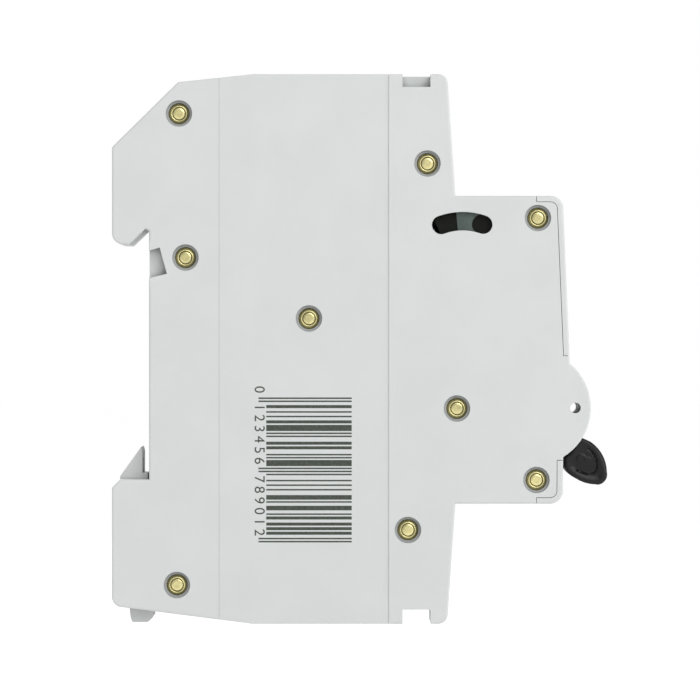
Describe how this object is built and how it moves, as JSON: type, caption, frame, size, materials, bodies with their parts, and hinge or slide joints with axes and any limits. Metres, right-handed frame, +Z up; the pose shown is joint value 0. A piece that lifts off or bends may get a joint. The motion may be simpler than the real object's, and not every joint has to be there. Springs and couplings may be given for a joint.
{
  "type": "residual-current circuit breaker",
  "caption": "Narrow rail-mounted residual-current circuit breaker with a tilting toggle, test button, box-clamp terminals and a sprung rail clip.",
  "frame": {"origin": "on the plane that rests on the rail, at mid width and at the rail's centre line", "axes": "+Z up along the rail-mounted device, +Y towards the rail, -Y out of the panel front, X across the width"},
  "size_m": [0.0178, 0.0733, 0.0811],
  "materials": {
    "housing_plastic": "fine spark-textured moulding, light grey",
    "rail_clip_plastic": "light grey moulding",
    "rivet_brass": "rolled brass, slightly dull",
    "black_plastic": "black moulding, satin",
    "steel": "bright drawn steel",
    "leaf_steel": "blue-grey rolled sheet",
    "mechanism_plastic": "dark thermoset moulding",
    "zinc_steel": "zinc-plated steel",
    "copper": "bare copper",
    "contact_silver": "silver contact alloy",
    "bimetal": "rolled bimetal",
    "chute_fibre": "vulcanised fibre",
    "core_metal": "wound strip core",
    "board_laminate": "glass-epoxy laminate",
    "component_plastic": "moulded components",
    "bronze": "phosphor bronze",
    "test_button_plastic": "mid grey moulding"
  },
  "bodies": {
    "housing": {"arc_chute_cards": "chute_fibre", "arc_chute_plates": "steel", "arc_runner": "steel", "bimetal_bracket": "steel", "bimetal_strip": "bimetal", "board_components": "component_plastic", "calibration_screw": "steel", "carrier_pin": "steel", "circuit_board": "board_laminate", "clip_spring": "steel", "coil_bobbin": "mechanism_plastic", "coil_winding": "copper", "coil_yoke": "steel", "contact_spring": "steel", "fixed_contact_buttons": "contact_silver", "front_fascia": "housing_plastic", "housing_rivets": "rivet_brass", "left_cover": "housing_plastic", "line_fixed_contact": "copper", "line_inlet_bar": "copper", "line_lead": "copper", "line_outlet_bar": "copper", "middle_frame": "housing_plastic", "neutral_fixed_contact": "copper", "neutral_inlet_bar": "copper", "neutral_lead": "copper", "neutral_outlet_bar": "copper", "plunger_spring": "steel", "residual_trip_coil": "steel", "right_cover": "housing_plastic", "test_contact": "bronze", "test_spring": "steel", "toggle_pin": "steel", "toggle_spring": "steel", "transformer_core": "core_metal", "transformer_winding": "copper"},
    "toggle": {"toggle": "black_plastic"},
    "toggle_link": {"toggle_link": "steel"},
    "contact_carrier": {"contact_carrier": "mechanism_plastic", "line_contact_arm": "copper", "neutral_contact_arm": "copper", "moving_contact_buttons": "contact_silver"},
    "trip_lever": {"trip_lever": "mechanism_plastic", "trip_lever_pin": "mechanism_plastic", "trip_lever_leaf": "leaf_steel"},
    "coil_plunger": {"coil_plunger": "steel"},
    "residual_trip_plunger": {"residual_trip_plunger": "steel"},
    "test_button": {"test_button": "test_button_plastic"},
    "rail_clip": {"rail_clip": "rail_clip_plastic"},
    "screw_line_top": {"terminal_screw_line_top": "zinc_steel"},
    "cage_line_top": {"terminal_cage_line_top": "zinc_steel"},
    "screw_line_bottom": {"terminal_screw_line_bottom": "zinc_steel"},
    "cage_line_bottom": {"terminal_cage_line_bottom": "zinc_steel"},
    "screw_neutral_top": {"terminal_screw_neutral_top": "zinc_steel"},
    "cage_neutral_top": {"terminal_cage_neutral_top": "zinc_steel"},
    "screw_neutral_bottom": {"terminal_screw_neutral_bottom": "zinc_steel"},
    "cage_neutral_bottom": {"terminal_cage_neutral_bottom": "zinc_steel"}
  },
  "joints": [
    {"name": "toggle_turn", "type": "hinge", "parent": "housing", "child": "toggle", "pos_m": [0, -0.05674, -0.00855], "axis": [-1, 0, 0], "range_deg": [0, 80]},
    {"name": "link_turn", "type": "hinge", "parent": "toggle", "child": "toggle_link", "pos_m": [-0.0036, -0.05757, -0.00546], "axis": [-1, 0, 0], "range_deg": [-88, 0]},
    {"name": "carrier_turn", "type": "hinge", "parent": "housing", "child": "contact_carrier", "pos_m": [0, -0.04627, 0.00981], "axis": [1, 0, 0], "range_deg": [0, 22]},
    {"name": "trip_lever_turn", "type": "hinge", "parent": "housing", "child": "trip_lever", "pos_m": [-0.0068, -0.04627, 0.00981], "axis": [-1, 0, 0], "range_deg": [0, 22]},
    {"name": "coil_plunger_slide", "type": "slide", "parent": "housing", "child": "coil_plunger", "axis": [0, -1, 0], "range_m": [0, 0.0015], "stiffness_N_per_m": 60, "deforming": ["plunger_spring"]},
    {"name": "residual_plunger_slide", "type": "slide", "parent": "housing", "child": "residual_trip_plunger", "axis": [0, -1, 0], "range_m": [0, 0.0015], "stiffness_N_per_m": 60},
    {"name": "test_button_press", "type": "slide", "parent": "housing", "child": "test_button", "axis": [0, 1, 0], "range_m": [0, 0.0016], "stiffness_N_per_m": 400, "deforming": ["test_spring"]},
    {"name": "rail_clip_slide", "type": "slide", "parent": "housing", "child": "rail_clip", "axis": [0, 0, -1], "range_m": [0, 0.0035], "stiffness_N_per_m": 1500, "deforming": ["clip_spring"]},
    {"name": "screw_line_top_turn", "type": "hinge", "parent": "housing", "child": "screw_line_top", "pos_m": [-0.0041, -0.036, 0.0336], "axis": [0, 1, 0], "range_deg": [0, 1620]},
    {"name": "cage_line_top_slide", "type": "slide", "parent": "housing", "child": "cage_line_top", "axis": [0, -1, 0], "range_m": [0, 0.00315]},
    {"name": "screw_line_bottom_turn", "type": "hinge", "parent": "housing", "child": "screw_line_bottom", "pos_m": [-0.0041, -0.036, -0.0333], "axis": [0, 1, 0], "range_deg": [0, 1620]},
    {"name": "cage_line_bottom_slide", "type": "slide", "parent": "housing", "child": "cage_line_bottom", "axis": [0, -1, 0], "range_m": [0, 0.00315]},
    {"name": "screw_neutral_top_turn", "type": "hinge", "parent": "housing", "child": "screw_neutral_top", "pos_m": [0.0041, -0.036, 0.0336], "axis": [0, 1, 0], "range_deg": [0, 1620]},
    {"name": "cage_neutral_top_slide", "type": "slide", "parent": "housing", "child": "cage_neutral_top", "axis": [0, -1, 0], "range_m": [0, 0.00315]},
    {"name": "screw_neutral_bottom_turn", "type": "hinge", "parent": "housing", "child": "screw_neutral_bottom", "pos_m": [0.0041, -0.036, -0.0333], "axis": [0, 1, 0], "range_deg": [0, 1620]},
    {"name": "cage_neutral_bottom_slide", "type": "slide", "parent": "housing", "child": "cage_neutral_bottom", "axis": [0, -1, 0], "range_m": [0, 0.00315]}
  ],
  "couplings": [
    {"joint": "link_turn", "follows": "toggle_turn", "ratio": -1.1},
    {"joint": "carrier_turn", "follows": "toggle_turn", "ratio": 0.275},
    {"joint": "trip_lever_turn", "follows": "toggle_turn", "ratio": 0.275},
    {"joint": "screw_line_top_turn", "follows": "cage_line_top_slide", "rad_per_m": 8976},
    {"joint": "screw_line_bottom_turn", "follows": "cage_line_bottom_slide", "rad_per_m": 8976},
    {"joint": "screw_neutral_top_turn", "follows": "cage_neutral_top_slide", "rad_per_m": 8976},
    {"joint": "screw_neutral_bottom_turn", "follows": "cage_neutral_bottom_slide", "rad_per_m": 8976}
  ]
}
